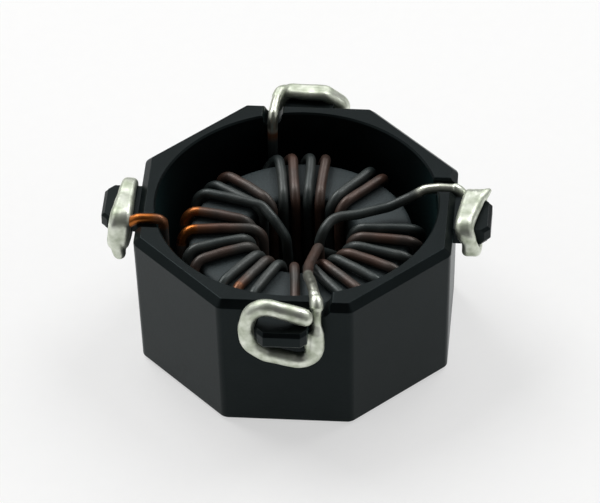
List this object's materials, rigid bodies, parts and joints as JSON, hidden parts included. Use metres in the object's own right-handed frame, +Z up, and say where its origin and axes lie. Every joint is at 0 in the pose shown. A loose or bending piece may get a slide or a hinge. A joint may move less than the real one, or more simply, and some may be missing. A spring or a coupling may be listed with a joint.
{
  "type": "surface-mount inductor",
  "caption": "Dual-winding surface-mount inductor: a toroid wound with two wires in an open octagonal plastic cup, its wire ends wrapped and tinned round moulded tabs.",
  "frame": {"origin": "centre of the cup's closed floor, on the surface it lies on", "axes": "+Z up out of the open cup, -Y towards the front face in the picture, X across it"},
  "size_m": [0.0136, 0.0136, 0.0059],
  "materials": {
    "black_plastic": "matte moulded",
    "core_coating": "matte coating",
    "copper_enamel": "glossy enamel over copper",
    "green_enamel": "glossy enamel over copper",
    "tinned_wire": "bright solder"
  },
  "bodies": {
    "root": {"housing": "black_plastic", "core": "core_coating", "winding_copper": "copper_enamel", "winding_green": "green_enamel", "terminal_front": "tinned_wire", "terminal_right": "tinned_wire", "terminal_back": "tinned_wire", "terminal_left": "tinned_wire"}
  },
  "joints": []
}
